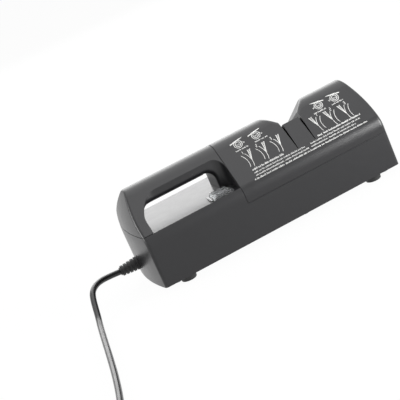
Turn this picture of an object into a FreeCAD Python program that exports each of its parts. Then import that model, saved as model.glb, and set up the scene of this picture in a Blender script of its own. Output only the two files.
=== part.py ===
import FreeCAD, Part
import math
import os
from FreeCAD import Vector

# Electric knife sharpener with a carrying handle.
# Millimetres. The origin is on the resting surface, under the middle of the housing.
# +X points to the sharpening head, -Y to the side with the switch, +Z up.

os.makedirs("parts", exist_ok=True)

# Overall sizes
length = 310.0
depth = 110.0
height = 109.5
foot_height = 7.0

# Housing form
wall = 3.0
end_bow = 4.8
front_angle = 48.8
rear_angle = 35.0
crest_radius = 20.0
front_blend = 22.0
rear_blend = 20.0
end_draw_height = 48.0
end_draw_radius = 131.0
end_top_round = 7.0
end_top_rise = 1.0
end_zone = 25.0
corner_round = 4.0
fit_gap = 0.3
seam_groove = 0.8
seam_groove_depth = 0.7

# Where the housing is divided, heights taken from its underside
deck_height = 62.0
cover_seam_height = 43.0
handle_part_length = 124.4
leg_thickness = 13.4

# Handle
bar_thickness = 23.5
bar_front = -19.0
bar_rear = 24.0
bar_edge_round = 6.0
bar_end_length = 12.4
pocket_leg_round = 28.0
pocket_head_round = 12.0
window_round = 12.0
handle_wall = 3.0
bulkhead = 4.0
grip_plate_thickness = 2.5
handle_boss_radius = 4.0
handle_screw_radius = 1.6
handle_screw_head = 3.2

# Trough and knife slots
head_from_end = 91.0
slot_pitch = 23.4
slot_width = 2.9
slot_tip_width = 0.8
slot_half_length = 44.0
slot_full_width_at = 20.0
bridge_ridge_y = -20.6
bridge_ridge_height = 96.8
trough_fall_angle = 25.0
trough_step = 6.6
flare_angle = 49.0
flare_round = 5.0

# Bottom plate, feet and their screws
plate_thickness = 2.5
foot_radius = 10.0
foot_inset_x = 31.0
foot_inset_y = 14.0
foot_recess_radius = 5.0
foot_recess_depth = 4.0
screw_radius = 2.0
hole_clearance = 0.15
boss_radius = 5.5
boss_height = 24.0
boss_from_end = 17.0
boss_from_side = 8.0
vent_width = 3.0
vent_length = 34.0
vent_count = 7
vent_pitch = 6.0
vent_from_head = 85.0

# Motor and sharpening discs
axis_height = 50.0
shaft_radius = 4.0
running_gap = 0.05
fixed_fit = 0.04
motor_radius = 26.0
motor_wall = 2.0
motor_to_head = 26.0
can_length = 46.0
bell_length = 18.0
bearing_radius = 11.0
bearing_width = 7.0
bracket_thickness = 3.0
magnet_thickness = 3.6
air_gap = 1.0
slots_in_core = 12
fan_radius = 15.5
fan_blades = 9
disc_radius = 25.0
disc_face_x = 9.6
disc_cone_angle = 16.0
disc_core_radius = 10.0
disc_plate = 2.0
abrasive_thickness = 0.8
hub_radius = 6.5
disc_travel = 1.5
spring_wire = 0.9
spring_turns = 3
ring_width = 1.6
outboard_from_head = 24.0
bush_radius = 8.0
bush_length = 9.0

# Tray and magnet under the discs
tray_length = 40.0
tray_depth = 76.0
tray_height = 15.0
tray_wall = 1.5
tray_magnet = Vector(28.0, 18.0, 4.0)

# Switch
switch_from_seam = 21.2
switch_y = -39.5
switch_body_size = Vector(23.0, 16.0, 24.0)
rocker_size = Vector(18.0, 11.5, 6.0)
rocker_angle = 20.0
rocker_pin_radius = 1.2
boot_flange = Vector(28.6, 23.0, 1.6)
boot_dome = Vector(24.0, 16.5, 6.0)
boot_wall = 0.8
boot_end_taper = 2.8
boot_side_taper = 1.3
lead_radius = 1.0

# Mains cord
cord_radius = 3.5
clamp_screw_offset = 8.2
cord_y = 21.5
cord_height = 18.5
relief_length = 23.0
relief_root_radius = 8.2
relief_tip_radius = 6.0
relief_ribs = 5
relief_rib_share = 0.6
relief_groove = 1.5
relief_neck_radius = 6.0
turn_pitch = 8.6
coil_inner_radius = 29.5
lower_turns = 2.25
climb_turns = 0.5
upper_turns = 2.5
coil_from_tip_x = -153.4
coil_from_tip_y = -356.5
plug_body_length = 32.0
plug_width = 25.0
plug_relief_length = 30.0

base = foot_height
half_length = length / 2
half_depth = depth / 2
left_end = -half_length
seam_x = left_end + handle_part_length
head_x = half_length - head_from_end
deck = base + deck_height
seam_z = base + cover_seam_height
crest = base + height
axis_z = base + axis_height
window_left = left_end + leg_thickness
window_right = seam_x - bar_end_length
bar_bottom = crest - bar_thickness
far = length + depth


def save(shape, node):
    """Write one piece, leaving a lone solid bare."""
    if len(shape.Solids) == 1:
        shape = shape.Solids[0]
    else:
        shape = Part.makeCompound(shape.Solids)
    if not shape.isValid() or shape.Volume <= 0:
        raise ValueError("bad solid: " + node)
    shape.exportStep("parts/" + node + ".step")
    print(node, len(shape.Solids), round(shape.Volume, 1))
    return shape


def block(x0, x1, y0, y1, z0, z1):
    return Part.makeBox(x1 - x0, y1 - y0, z1 - z0, Vector(x0, y0, z0))


def rod(start, axis, radius, long):
    return Part.makeCylinder(radius, long, start, axis)


def fused(shapes):
    joined = shapes[0]
    for shape in shapes[1:]:
        joined = joined.fuse(shape)
    return joined.removeSplitter()


def turned_about_x(points, x0=0.0):
    """Turn a closed outline of (x, radius) points about the shaft's axis."""
    corners = [Vector(x0 + x, 0, axis_z + r) for x, r in points]
    face = Part.Face(Part.makePolygon(corners + corners[:1]))
    return face.revolve(Vector(0, 0, axis_z), Vector(1, 0, 0), 360)


def arc_through(a, middle, b):
    return Part.Arc(a, middle, b).toShape()


def section_solid(inset, z_low, x0, x1):
    """The housing's cross-section, drawn in by the inset and run from x0 to x1.

    The front rises to a steep shoulder and the rear to a flatter one. Both shoulders touch
    the round crest, and a blend arc joins each to its upright wall.
    """
    crest_centre = Vector(0, 0, crest - crest_radius)
    normals = {}
    normals[-1] = Vector(0, -math.sin(math.radians(front_angle)), math.cos(math.radians(front_angle)))
    normals[1] = Vector(0, math.sin(math.radians(rear_angle)), math.cos(math.radians(rear_angle)))
    blend = {-1: front_blend, 1: rear_blend}
    wall_top = {}
    shoulder_low = {}
    bend = {}
    for side in (-1, 1):
        normal = normals[side]
        centre_y = side * (half_depth - blend[side])
        reach = crest_centre.dot(normal) + crest_radius - blend[side]
        centre = Vector(0, centre_y, (reach - centre_y * normal.y) / normal.z)
        radius = blend[side] - inset
        outward = Vector(0, side, 0)
        between = (outward + normal).normalize()
        wall_top[side] = centre + outward * radius
        bend[side] = centre + between * radius
        shoulder_low[side] = centre + normal * radius
    small = crest_radius - inset
    crest_front = crest_centre + normals[-1] * small
    crest_rear = crest_centre + normals[1] * small
    foot_front = Vector(0, -half_depth + inset, z_low)
    foot_rear = Vector(0, half_depth - inset, z_low)
    edges = [Part.makeLine(foot_front, wall_top[-1])]
    edges.append(arc_through(wall_top[-1], bend[-1], shoulder_low[-1]))
    edges.append(Part.makeLine(shoulder_low[-1], crest_front))
    edges.append(arc_through(crest_front, crest_centre + Vector(0, 0, small), crest_rear))
    edges.append(Part.makeLine(crest_rear, shoulder_low[1]))
    edges.append(arc_through(shoulder_low[1], bend[1], wall_top[1]))
    edges.append(Part.makeLine(wall_top[1], foot_rear))
    edges.append(Part.makeLine(foot_rear, foot_front))
    face = Part.Face(Part.Wire(edges))
    face.translate(Vector(x0, 0, 0))
    return face.extrude(Vector(x1 - x0, 0, 0))


def plan_solid(inset, z0, z1):
    """The housing's plan: straight sides and gently bowed ends, drawn in by the inset."""
    x = half_length - inset
    y = half_depth - inset
    tip = half_length + end_bow - inset
    corners = [Vector(-x, -y, z0), Vector(x, -y, z0), Vector(x, y, z0), Vector(-x, y, z0)]
    edges = [Part.makeLine(corners[0], corners[1])]
    edges.append(arc_through(corners[1], Vector(tip, 0, z0), corners[2]))
    edges.append(Part.makeLine(corners[2], corners[3]))
    edges.append(arc_through(corners[3], Vector(-tip, 0, z0), corners[0]))
    return Part.Face(Part.Wire(edges)).extrude(Vector(0, 0, z1 - z0))


def end_solid(side, inset, z0):
    """The form that shapes one end, drawn in by the inset.

    Its outline is upright below, leans in along a large arc above, and a smaller arc rounds it
    into the top. Turned about the upright axis of the end's bow, it curves both ways. Its top
    stands a little over the crest, so the two meet at a clear angle.
    """
    bow_radius = (half_depth * half_depth + end_bow * end_bow) / (2 * end_bow)
    top = crest + end_top_rise - inset
    draw_z = base + end_draw_height
    draw_out = bow_radius - end_draw_radius
    draw_r = end_draw_radius - inset
    round_z = crest + end_top_rise - end_top_round
    round_r = end_top_round - inset
    lean = math.asin((round_z - draw_z) / (end_draw_radius - end_top_round))
    round_out = draw_out + (end_draw_radius - end_top_round) * math.cos(lean)
    high_lean = (lean + math.pi / 2) / 2
    outline = [(0, z0), (draw_out + draw_r, z0), (draw_out + draw_r, draw_z)]
    outline.append((draw_out + draw_r * math.cos(lean / 2), draw_z + draw_r * math.sin(lean / 2)))
    outline.append((draw_out + draw_r * math.cos(lean), draw_z + draw_r * math.sin(lean)))
    outline.append((round_out + round_r * math.cos(high_lean), round_z + round_r * math.sin(high_lean)))
    outline += [(round_out, top), (0, top)]
    axis_x = side * (half_length + end_bow - bow_radius)
    p = [Vector(axis_x - side * out, 0, z) for out, z in outline]
    edges = [Part.makeLine(p[0], p[1]), Part.makeLine(p[1], p[2]), arc_through(p[2], p[3], p[4])]
    edges += [arc_through(p[4], p[5], p[6]), Part.makeLine(p[6], p[7]), Part.makeLine(p[7], p[0])]
    return Part.Face(Part.Wire(edges)).revolve(Vector(axis_x, 0, 0), Vector(0, 0, 1), 360)


def housing_form(inset, z_low):
    """The whole closed form of the housing, drawn in by the inset, sharp at its ends."""
    reach = half_length + 2 * end_bow
    form = section_solid(inset, z_low, -reach, reach)
    return form.common(end_solid(-1, inset, z_low)).common(end_solid(1, inset, z_low))


def rounded_housing():
    """The outer form with the edges round both ends rounded off."""
    form = housing_form(0, base)
    skin = section_solid(0, base, -far, far)
    sides = [face for face in skin.Faces if abs(face.CenterOfMass.x) < 1 and face.BoundBox.ZMax > base + 1]
    picked = []
    for edge in form.Edges:
        middle = Part.Vertex(edge.valueAt((edge.FirstParameter + edge.LastParameter) / 2))
        box = edge.BoundBox
        at_end = max(abs(box.XMin), abs(box.XMax)) > half_length - end_zone
        along = box.XLength > length / 2
        on_skin = min(middle.distToShape(side)[0] for side in sides) < 0.001
        if at_end and on_skin and not along and box.ZMax > base + 1:
            picked.append(edge)
    return form.makeFillet(corner_round, picked)


outer = rounded_housing()
inner = housing_form(wall, base - 1)
groove_core = housing_form(seam_groove_depth, base - 1)
groove_half = seam_groove / 2


def groove(x0, x1, z0, z1):
    """A shallow ring cut into the outer skin along a seam."""
    ring = block(x0, x1, -far, far, z0, z1)
    return ring.cut(groove_core)


def straight_boss(x, y, z0, z1, radius):
    return rod(Vector(x, y, z0), Vector(0, 0, 1), radius, z1 - z0)


# Base shell: a tub with the handle's deck at its left and an open right part.
plate_top = base + plate_thickness
boss_x = [left_end + boss_from_end, head_x - 2 * boss_from_end, half_length - boss_from_end]
boss_places = [(x, y) for x in boss_x for y in (-half_depth + boss_from_side, half_depth - boss_from_side)]


def base_shell():
    left = block(-far, seam_x, -far, far, base, deck)
    right = block(seam_x, far, -far, far, base, seam_z)
    shell = outer.common(left.fuse(right))
    hollow_left = block(-far, seam_x - wall, -far, far, base - 1, deck - wall)
    hollow_right = block(seam_x - wall, far, -far, far, base - 1, seam_z - 2 * wall)
    hollow_top = block(seam_x, far, -far, far, base, deck + 1)
    hollow = hollow_left.fuse(hollow_right).fuse(hollow_top).common(inner)
    shell = shell.cut(hollow)
    for x, y in boss_places:
        post = straight_boss(x, y, plate_top, plate_top + boss_height, boss_radius)
        shell = shell.fuse(post.common(outer))
    for x, y in boss_places:
        pilot = straight_boss(x, y, base, plate_top + boss_height - wall, screw_radius + running_gap)
        shell = shell.cut(pilot)
    relief_hole = rod(Vector(left_end - 2 * end_bow, cord_y, base + cord_height), Vector(1, 0, 0),
                      relief_neck_radius, 4 * wall + end_bow)
    shell = shell.cut(relief_hole)
    switch_hole = centred_block(switch_x, switch_y, deck - 2 * wall, deck + 1,
                                switch_body_size.x + 2 * fit_gap, switch_body_size.y + 2 * fit_gap)
    shell = shell.cut(switch_hole)
    for x, y in handle_screw_places:
        shell = shell.cut(straight_boss(x, y, deck - 2 * wall, deck + 1, handle_screw_radius + hole_clearance))
    shell = shell.cut(groove(seam_x, far, seam_z - groove_half, seam_z + groove_half))
    shell = shell.cut(groove(-far, window_left, deck - groove_half, deck + groove_half))
    screw_pit = rod(Vector(left_end - 2 * end_bow, end_screw_y, base + end_screw_height), Vector(1, 0, 0),
                    end_screw_radius, end_bow + 1.2)
    shell = shell.cut(screw_pit)
    return shell


def centred_block(x, y, z0, z1, size_x, size_y):
    return block(x - size_x / 2, x + size_x / 2, y - size_y / 2, y + size_y / 2, z0, z1)


switch_x = seam_x - switch_from_seam
end_screw_y = 0.0
end_screw_height = 19.5
end_screw_radius = 1.9

# Screws hold the handle from inside the base: two in its leg, two in its head wall.
leg_boss_x = left_end + leg_thickness / 2 - end_bow / 2
head_boss_x = seam_x - wall - handle_screw_head - fit_gap
leg_boss_y = [-12.0, 17.0]
head_boss_y = [-8.0, 13.0]
handle_screw_places = [(leg_boss_x, y) for y in leg_boss_y] + [(head_boss_x, y) for y in head_boss_y]
grip_screw_x = [window_left + 18.0, (window_left + window_right) / 2, window_right - 18.0]
grip_screw_y = (bar_front + bar_rear) / 2
grip_x0 = window_left + window_round
grip_x1 = window_right - window_round


def rounded_pocket(y_edge, side, left_round, right_round):
    """The space in front of or behind the bar, with upright rounded inner corners."""
    x0 = window_left
    x1 = seam_x
    y_out = side * 2 * depth
    lk = left_round * (1 - math.sqrt(0.5))
    rk = right_round * (1 - math.sqrt(0.5))
    points = [Vector(x0, y_out, deck), Vector(x0, y_edge + side * left_round, deck)]
    points += [Vector(x0 + left_round, y_edge, deck), Vector(x1 - right_round, y_edge, deck)]
    points += [Vector(x1, y_edge + side * right_round, deck), Vector(x1, y_out, deck)]
    edges = [Part.makeLine(points[0], points[1])]
    edges.append(arc_through(points[1], Vector(x0 + lk, y_edge + side * lk, deck), points[2]))
    edges.append(Part.makeLine(points[2], points[3]))
    edges.append(arc_through(points[3], Vector(x1 - rk, y_edge + side * rk, deck), points[4]))
    edges.append(Part.makeLine(points[4], points[5]))
    edges.append(Part.makeLine(points[5], points[0]))
    return Part.Face(Part.Wire(edges)).extrude(Vector(0, 0, 2 * height))


def window_solid():
    """The finger gap under the bar, rounded where the bar meets its two ends."""
    k = window_round * (1 - math.sqrt(0.5))
    y = -2 * depth
    x0, x1, z0, z1 = window_left, window_right, deck, bar_bottom
    points = [Vector(x0, y, z0), Vector(x0, y, z1 - window_round), Vector(x0 + window_round, y, z1)]
    points += [Vector(x1 - window_round, y, z1), Vector(x1, y, z1 - window_round), Vector(x1, y, z0)]
    edges = [Part.makeLine(points[0], points[1])]
    edges.append(arc_through(points[1], Vector(x0 + k, y, z1 - k), points[2]))
    edges.append(Part.makeLine(points[2], points[3]))
    edges.append(arc_through(points[3], Vector(x1 - k, y, z1 - k), points[4]))
    edges.append(Part.makeLine(points[4], points[5]))
    edges.append(Part.makeLine(points[5], points[0]))
    return Part.Face(Part.Wire(edges)).extrude(Vector(0, 4 * depth, 0))


def handle_shell():
    """The bridge handle: an end leg, the bar and a head wall that closes the cover's open side."""
    form = outer.common(block(-far, seam_x, -far, far, deck, crest + 1))
    form = form.cut(rounded_pocket(bar_front, -1, pocket_leg_round, pocket_head_round))
    form = form.cut(rounded_pocket(bar_rear, 1, pocket_leg_round, pocket_head_round))
    form = form.cut(window_solid())
    under = []
    for edge in form.Edges:
        box = edge.BoundBox
        flat = box.ZLength < 0.01 and abs(box.ZMin - bar_bottom) < 0.01
        if flat and box.YLength < 0.01 and box.XLength > length / 10:
            under.append(edge)
    form = form.makeFillet(bar_edge_round, under)
    plug = housing_form(wall + fit_gap, base).common(block(seam_x, seam_x + bulkhead, -far, far, deck, crest))
    form = form.fuse(plug)
    y0 = bar_front + handle_wall
    y1 = bar_rear - handle_wall
    hollow_form = housing_form(handle_wall, base)
    channel = block(window_left - handle_wall, head_boss_x, y0, y1, bar_bottom + handle_wall, crest)
    opening = block(grip_x0 - fit_gap, grip_x1 + fit_gap, y0, y1, bar_bottom - 1, bar_bottom + 2 * handle_wall)
    leg = block(-far, window_left - handle_wall, -half_depth / 2, half_depth / 2, deck - 1, crest)
    head = block(window_right + handle_wall, seam_x + 1, y0, y1, deck - 1, crest - 4 * handle_wall)
    hollow = fused([channel, opening, leg, head]).common(hollow_form)
    form = form.cut(hollow)
    posts = []
    for x, y in handle_screw_places:
        posts.append(straight_boss(x, y, deck, crest, handle_boss_radius))
    for x in grip_screw_x:
        posts.append(straight_boss(x, grip_screw_y, bar_bottom + grip_plate_thickness, crest, handle_boss_radius))
    roof = housing_form(handle_wall / 2, base)
    for post in posts:
        form = form.fuse(post.common(roof))
    for x, y in handle_screw_places:
        form = form.cut(straight_boss(x, y, deck - 1, deck + 16, handle_screw_radius + running_gap))
    for x in grip_screw_x:
        form = form.cut(straight_boss(x, grip_screw_y, bar_bottom, bar_bottom + 14, handle_screw_radius + running_gap))
    form = form.cut(groove(seam_x - groove_half, seam_x, deck, crest + 1))
    return form.cut(groove(-far, window_left, deck - groove_half, deck + groove_half))


def grip_plate():
    """Closes the underside of the hollow bar."""
    y0 = bar_front + handle_wall + fit_gap
    y1 = bar_rear - handle_wall - fit_gap
    plate = block(grip_x0, grip_x1, y0, y1, bar_bottom, bar_bottom + grip_plate_thickness)
    for x in grip_screw_x:
        plate = plate.cut(straight_boss(x, grip_screw_y, bar_bottom - 1, crest, handle_screw_radius + hole_clearance))
    return plate


def screw(x, y, z_head, direction, radius, long, head_radius, head_height):
    """A pan-head screw on an upright axis; its head stands on z_head and its shank runs on."""
    way = Vector(0, 0, direction)
    shank = rod(Vector(x, y, z_head), way, radius, long)
    head = rod(Vector(x, y, z_head), way * -1, head_radius, head_height)
    head = head.makeFillet(head_height * 0.4, [e for e in head.Edges if abs(e.BoundBox.ZMin - z_head) > 0.5
                                               and e.BoundBox.ZLength < 0.01])
    body = shank.fuse(head)
    across = head_radius * 1.1
    top = z_head - direction * head_height
    for angle in (0, 90):
        bar = Part.makeBox(across, 0.9, 1.0, Vector(-across / 2, -0.45, -0.5))
        bar.rotate(Vector(0, 0, 0), Vector(0, 0, 1), angle)
        bar.translate(Vector(x, y, top))
        body = body.cut(bar)
    return body


def trough(grow):
    """The valley across the head: floor and flares fall towards the rear together.

    Its outline in XZ is drawn where y is 0 and swept along the fall, so the floor passes
    through the bridge's front ridge.
    """
    fall = math.tan(math.radians(trough_fall_angle))
    floor_z = base + bridge_ridge_height + fall * bridge_ridge_y
    half = slot_pitch / 2 + slot_width / 2 + grow
    down = grow / math.cos(math.radians(trough_fall_angle))
    lift = 2 * height
    low = floor_z - down
    step = low + trough_step
    run = lift / math.tan(math.radians(flare_angle))
    y_front = -half_depth
    z_shift = fall * half_depth
    points = [(-half, low), (half, low), (half, step), (half + run, step + lift), (-half - run, step + lift),
              (-half, step)]
    corners = [Vector(head_x + x, y_front, z + z_shift) for x, z in points]
    face = Part.Face(Part.makePolygon(corners + corners[:1]))
    return face.extrude(Vector(0, depth + 20, -fall * (depth + 20)))


def slot_cut(side):
    """One knife slot, a narrow upright cut that tapers to a tip at each end."""
    inner_x = side * (slot_pitch - slot_width) / 2
    outer_x = side * (slot_pitch + slot_width) / 2
    tip = side * slot_pitch / 2
    half_tip = side * slot_tip_width / 2
    y1 = slot_full_width_at
    y2 = slot_half_length
    plan = [(inner_x, -y1), (tip - half_tip, -y2), (tip + half_tip, -y2), (outer_x, -y1)]
    plan += [(outer_x, y1), (tip + half_tip, y2), (tip - half_tip, y2), (inner_x, y1)]
    corners = [Vector(head_x + x, y, deck - wall) for x, y in plan]
    face = Part.Face(Part.makePolygon(corners + corners[:1]))
    return face.extrude(Vector(0, 0, height))


def top_cover():
    """The lift-off cover over the discs, with the trough, the bridge and two knife slots."""
    region = block(seam_x + fit_gap, far, -far, far, seam_z, crest + 1)
    form = outer.common(region).cut(trough(0))
    lip = slot_pitch / 2 + slot_width / 2
    flare = []
    for edge in form.Edges:
        box = edge.BoundBox
        right_side = box.XMin > head_x + lip - 0.1 and box.XMax < head_x + lip + height / 3
        left_side = box.XMax < head_x - lip + 0.1 and box.XMin > head_x - lip - height / 3
        if (right_side or left_side) and box.XLength > 0.1 and box.ZMin > deck + 2 * trough_step:
            flare.append(edge)
    form = form.makeFillet(flare_round, flare)
    hollow = housing_form(wall, base).cut(trough(wall)).common(block(seam_x - 1, far, -far, far, base, crest))
    form = form.cut(hollow)
    for side in (-1, 1):
        form = form.cut(slot_cut(side))
    form = form.cut(groove(seam_x, seam_x + fit_gap + groove_half, seam_z, crest + 1))
    return form.cut(groove(seam_x, far, seam_z - groove_half, seam_z + groove_half))


def blade_guide(side):
    """A fixed wedge beside each slot; its slanting face steers the blade to the disc."""
    top = axis_z + disc_radius + 8
    toe = axis_z + disc_radius - 5.5
    slot_outer = slot_pitch / 2 + slot_width / 2
    face_top = slot_outer + 0.2
    face_toe = disc_face_x + 0.6
    back = face_top + 6
    outline = [(back, top), (face_top, top), (face_toe, toe), (face_toe, toe - 3), (back, toe - 3)]
    corners = [Vector(head_x + side * x, -depth, z) for x, z in outline]
    prism = Part.Face(Part.makePolygon(corners + corners[:1])).extrude(Vector(0, 2 * depth, 0))
    room = housing_form(wall + 0.1, base).cut(trough(wall + 0.1))
    guide = prism.common(room)
    return max(guide.Solids, key=lambda solid: solid.Volume)


def bottom_plate():
    """Steel plate that closes the base and carries the motor, the boards and the feet."""
    plate = plan_solid(wall + fit_gap, base, plate_top)
    for x, y in boss_places + foot_places:
        plate = plate.cut(straight_boss(x, y, base - 1, plate_top + 1, screw_radius + hole_clearance))
    for i in range(vent_count):
        x = vent_centre_x + (i - (vent_count - 1) / 2) * vent_pitch
        plate = plate.cut(centred_block(x, 0, base - 1, plate_top + 1, vent_width, vent_length))
    for x, y, r in bracket_screws:
        plate = plate.cut(straight_boss(x, y, base - 1, plate_top + 1, r + hole_clearance))
    posts = []
    for x, y in board_posts:
        posts.append(straight_boss(x, y, plate_top, board_z, 3.0))
    seat_low = plate_top
    seat_high = base + cord_height - cord_radius
    seat = block(clamp_x - 4, clamp_x + 4, cord_y - 11, cord_y + 11, seat_low, seat_high)
    for y in (cord_y - clamp_screw_offset, cord_y + clamp_screw_offset):
        seat = seat.cut(straight_boss(clamp_x, y, seat_low + 1, seat_high + 1, 1.5 + running_gap))
    posts.append(seat)
    for post in posts:
        plate = plate.fuse(post)
    for x, y in board_posts:
        plate = plate.cut(straight_boss(x, y, plate_top, board_z + 1, 1.25 + running_gap))
    return plate


foot_places = [(sx * (half_length - foot_inset_x), sy * (half_depth - foot_inset_y))
               for sx in (-1, 1) for sy in (-1, 1)]
foot_names = ["rear_left", "front_left", "front_right", "rear_right"]


def rubber_foot(x, y):
    """A tapered round foot with a counterbore for its screw."""
    foot = Part.makeCone(foot_radius * 0.9, foot_radius, foot_height, Vector(x, y, 0))
    lower = [e for e in foot.Edges if e.BoundBox.ZMax < 0.01]
    foot = foot.makeFillet(1.0, lower)
    recess = straight_boss(x, y, -1, foot_recess_depth, foot_recess_radius)
    hole = straight_boss(x, y, -1, foot_height + 1, screw_radius + hole_clearance)
    return foot.cut(recess).cut(hole)


# Motor: axis along X, its front plate on an upright bracket beside the left disc.
motor_front = head_x - motor_to_head
can_back = motor_front - can_length
bell_back = can_back - bell_length
bracket_front = motor_front + bracket_thickness
outboard_x = head_x + outboard_from_head
vent_centre_x = head_x - vent_from_head
board_z = plate_top + 7.0
board_thickness = 1.6
board_centre = Vector(left_end + 62.0, -14.0, 0)
board_size = Vector(62.0, 44.0, 0)
board_posts = [(board_centre.x + sx * (board_size.x / 2 - 4), board_centre.y + sy * (board_size.y / 2 - 4))
               for sx in (-1, 1) for sy in (-1, 1)]
clamp_x = left_end + 20.0
terminal_x = left_end + 44.0
bracket_flange = 2.0
motor_foot_x = motor_front - 12.0
outboard_foot_x = outboard_x + bracket_thickness + 9.0
bracket_screws = [(motor_foot_x, y, screw_radius) for y in (-20.0, 20.0)]
bracket_screws += [(outboard_foot_x, y, screw_radius) for y in (-12.0, 12.0)]
brush_radius = 9.0


def motor_can():
    """Steel can, closed at the front by a plate with the front bearing's seat."""
    seat = bearing_radius + motor_wall
    outline = [(0, shaft_radius + 2), (0, motor_radius), (-can_length, motor_radius),
               (-can_length, motor_radius - motor_wall), (-motor_wall, motor_radius - motor_wall),
               (-motor_wall, seat), (-motor_wall - bearing_width, seat),
               (-motor_wall - bearing_width, bearing_radius), (-motor_wall, bearing_radius),
               (-motor_wall, shaft_radius + 2)]
    can = turned_about_x(outline, motor_front)
    for y in (-16.0, 16.0):
        can = can.cut(rod(Vector(motor_front - 4, y, axis_z), Vector(1, 0, 0), screw_radius + running_gap, 5))
    return can


def motor_end_bell():
    """Moulded rear end of the motor, with the rear bearing's seat and two brush tubes."""
    seat = bearing_radius + motor_wall
    outline = [(0, motor_radius), (0, motor_radius - 4), (motor_wall - bell_length + 2, motor_radius - 6),
               (motor_wall - bell_length + 2, seat), (motor_wall - bell_length + bearing_width, seat),
               (motor_wall - bell_length + bearing_width, bearing_radius),
               (motor_wall - bell_length, bearing_radius), (motor_wall - bell_length, shaft_radius + 2),
               (-bell_length, shaft_radius + 2), (-bell_length, motor_radius - 5), (-5, motor_radius)]
    bell = turned_about_x(outline, can_back)
    for side in (-1, 1):
        tube = rod(Vector(brush_x, side * (bearing_radius + 3), axis_z), Vector(0, side, 0), 4.2, 13.5)
        bore = rod(Vector(brush_x, side * bearing_radius, axis_z), Vector(0, side, 0), 3.2, 20)
        bell = bell.fuse(tube).cut(bore)
    return bell


brush_x = can_back - 4.4


def motor_brushes():
    """Two carbon brushes with their springs' caps, one each side of the commutator."""
    brushes = []
    for side in (-1, 1):
        carbon = rod(Vector(brush_x, side * (brush_radius + 0.3), axis_z), Vector(0, side, 0), 3.0, 12)
        cap = rod(Vector(brush_x, side * (bearing_radius + 16.6), axis_z), Vector(0, side, 0), 5.0, 2.0)
        stem = rod(Vector(brush_x, side * (brush_radius + 12), axis_z), Vector(0, side, 0), 3.0,
                   bearing_radius - brush_radius + 4.6 + 0.1)
        brushes.append(fused([carbon, stem, cap]))
    return Part.makeCompound(brushes)


def motor_magnets():
    """Two curved magnets on the inside of the can."""
    outer_r = motor_radius - motor_wall - 0.1
    ring = turned_about_x([(0, outer_r - magnet_thickness), (0, outer_r), (-30, outer_r),
                           (-30, outer_r - magnet_thickness)], motor_front - 12)
    halves = []
    for side in (-1, 1):
        keep = block(-far, far, min(side * 8, side * 60), max(side * 8, side * 60), 0, 2 * axis_z)
        halves.append(ring.common(keep))
    return Part.makeCompound(halves)


def armature():
    """Laminated core with its slots, the end turns of the winding and the commutator."""
    core_radius = motor_radius - motor_wall - magnet_thickness - air_gap - 0.1
    bore = shaft_radius + fixed_fit
    core = turned_about_x([(0, bore), (0, core_radius), (-28, core_radius), (-28, bore)], motor_front - 13)
    for i in range(slots_in_core):
        cut = block(-far, far, -1.3, 1.3, axis_z + core_radius - 7, axis_z + core_radius + 1)
        cut.rotate(Vector(0, 0, axis_z), Vector(1, 0, 0), i * 360 / slots_in_core)
        core = core.cut(cut)
    front_x = motor_front - 13
    turns_front = turned_about_x([(0, bore), (0, 15), (2.2, 13.8), (3.2, 11), (3.0, bore)], front_x)
    back_x = front_x - 28
    turns_back = turned_about_x([(0, bore), (0, 15), (-3, 13), (-4, 10), (-4, bore)], back_x)
    front_of_bars = brush_x + 3.4
    commutator = turned_about_x([(0, bore), (0, brush_radius), (-7, brush_radius), (-7, bore)], front_of_bars)
    gap = back_x - 4 - front_of_bars
    sleeve = turned_about_x([(0, bore), (0, shaft_radius + 2), (gap, shaft_radius + 2), (gap, bore)], front_of_bars)
    parts = fused([core, turns_front, turns_back])
    return Part.makeCompound([parts, fused([commutator, sleeve])])


def motor_shaft():
    """One shaft for the armature, fan and discs, with a flat at its outer end."""
    x0 = bell_back - 1.5
    x1 = outboard_x + bracket_thickness + 6
    shaft = turned_about_x([(x0, 0), (x0, shaft_radius - 0.6), (x0 + 0.6, shaft_radius),
                            (x1 - 0.6, shaft_radius), (x1, shaft_radius - 0.6), (x1, 0)])
    flat = block(x1 - 5, x1 + 1, -far, far, axis_z + shaft_radius - 0.7, axis_z + far)
    return shaft.cut(flat)


def ball_bearing(x0):
    """A small ball bearing drawn as one ring with a shallow groove in each face."""
    r0 = shaft_radius + running_gap
    r1 = bearing_radius - fixed_fit
    w = bearing_width
    outline = [(0, r0), (0, r0 + 2), (0.5, r0 + 2.2), (0.5, r1 - 2.2), (0, r1 - 2), (0, r1), (w, r1),
               (w, r1 - 2), (w - 0.5, r1 - 2.2), (w - 0.5, r0 + 2.2), (w, r0 + 2), (w, r0)]
    return turned_about_x(outline, x0)


def upright_bracket(x0, y_half, z_top, flange_way, flange_y, bore, screws):
    """A bent steel bracket: an upright plate with a foot flange on the bottom plate."""
    plate = block(x0, x0 + bracket_thickness, -y_half, y_half, plate_top, z_top)
    plate = plate.makeFillet(8, [e for e in plate.Edges if e.BoundBox.ZMin > z_top - 1 and e.BoundBox.YLength < 1])
    reach = 22.0
    if flange_way < 0:
        foot = block(x0 - reach, x0 + bracket_thickness, -flange_y, flange_y, plate_top, plate_top + bracket_flange)
    else:
        foot = block(x0, x0 + bracket_thickness + reach, -flange_y, flange_y, plate_top, plate_top + bracket_flange)
    bracket = plate.fuse(foot).removeSplitter()
    bracket = bracket.cut(rod(Vector(x0 - 1, 0, axis_z), Vector(1, 0, 0), bore, bracket_thickness + 2))
    for x, y in screws:
        bracket = bracket.cut(straight_boss(x, y, plate_top - 1, plate_top + 6, screw_radius + hole_clearance))
    return bracket


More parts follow.
